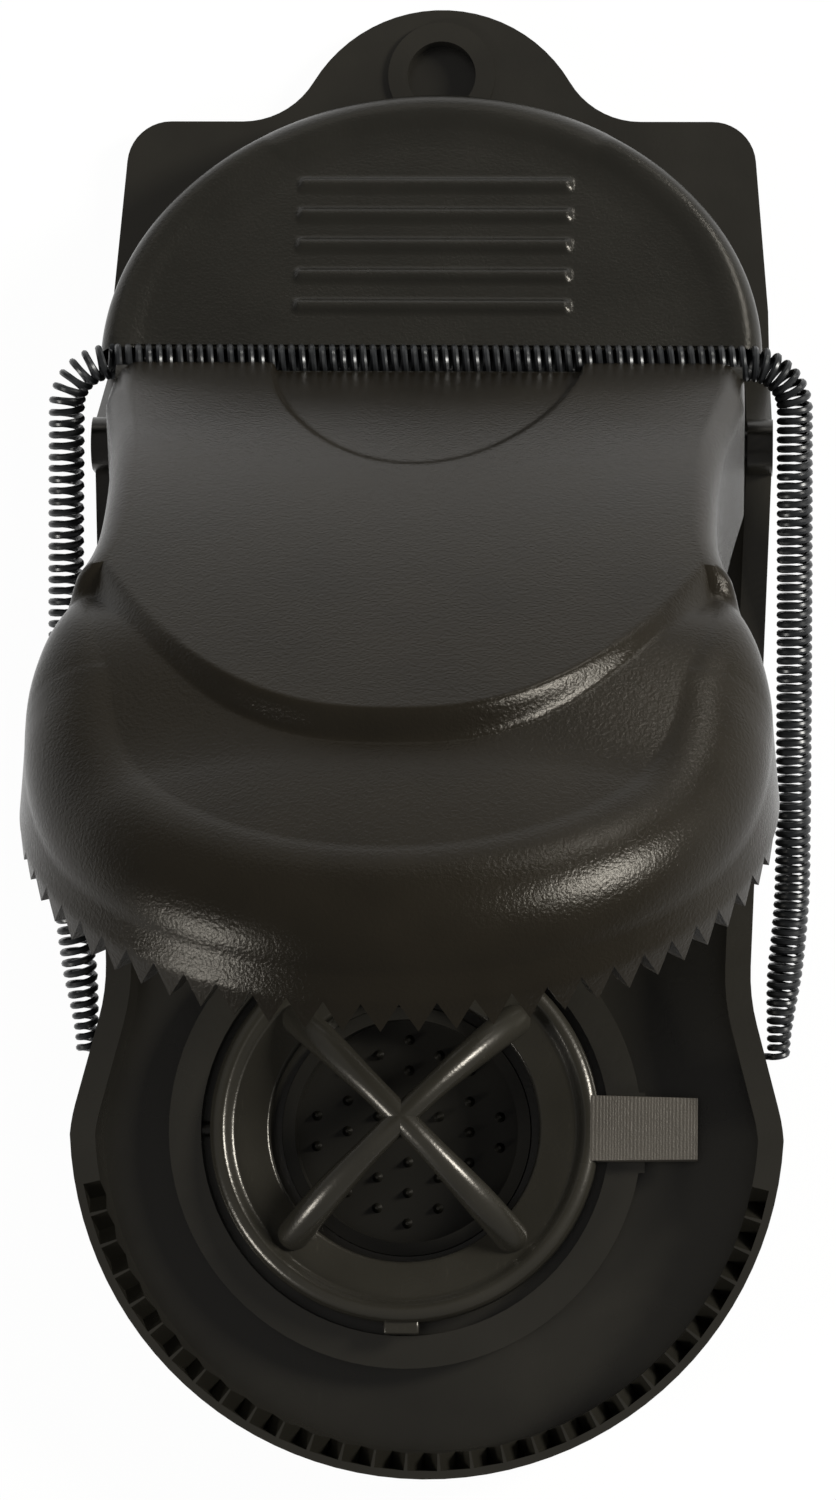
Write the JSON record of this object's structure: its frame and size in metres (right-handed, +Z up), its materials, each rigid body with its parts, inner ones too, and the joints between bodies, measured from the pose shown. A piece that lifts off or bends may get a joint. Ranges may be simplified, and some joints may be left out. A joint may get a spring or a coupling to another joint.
{
  "type": "snap mouse trap",
  "caption": "Clamshell snap mouse trap: toothed jaw hinged on a tray base, thumb lever behind, coil spring over the jaw, rocking trigger ring with a caged bait cup, rounded rear tab",
  "frame": {"origin": "under the middle of the base, on the surface it stands on", "axes": "+Z up, +Y to the rounded tab at the rear, the mouth opens toward -Y, +X to the trigger's pad"},
  "size_m": [0.054, 0.1064, 0.0723],
  "materials": {
    "base": "moulded black plastic, half gloss",
    "jaw": "moulded black plastic, fine satin grain",
    "trigger": "moulded black plastic, half gloss",
    "cup": "moulded black plastic, half gloss",
    "spring": "black coated spring wire"
  },
  "bodies": {
    "base": {"base": "base"},
    "jaw": {"jaw": "jaw", "spring_over_jaw": "spring"},
    "trigger": {"trigger": "trigger"},
    "bait_cup": {"bait_cup": "cup"},
    "spring_left": {"spring_left": "spring"},
    "spring_right": {"spring_right": "spring"}
  },
  "joints": [
    {"name": "jaw_hinge", "type": "hinge", "parent": "base", "child": "jaw", "pos_m": [0, 0.02, 0.011], "axis": [1, 0, 0], "range_deg": [0, 55], "deforming": ["spring_left", "spring_right"]},
    {"name": "trigger_rock", "type": "hinge", "parent": "base", "child": "trigger", "pos_m": [-0.00165, -0.02865, 0.0053], "axis": [1, 0, 0], "range_deg": [0, 6]},
    {"name": "bait_cup_pull", "type": "slide", "parent": "base", "child": "bait_cup", "axis": [0, 0, 1], "range_m": [-0.009, 0]},
    {"name": "spring_left_swing", "type": "hinge", "parent": "base", "child": "spring_left", "pos_m": [-0.0257, -0.023, 0.0018], "axis": [1, 0, 0], "range_deg": [0, 5]},
    {"name": "spring_right_swing", "type": "hinge", "parent": "base", "child": "spring_right", "pos_m": [0.0257, -0.023, 0.0018], "axis": [1, 0, 0], "range_deg": [0, 5]}
  ],
  "couplings": [
    {"joint": "spring_left_swing", "follows": "jaw_hinge", "ratio": 0.088},
    {"joint": "spring_right_swing", "follows": "jaw_hinge", "ratio": 0.088}
  ]
}
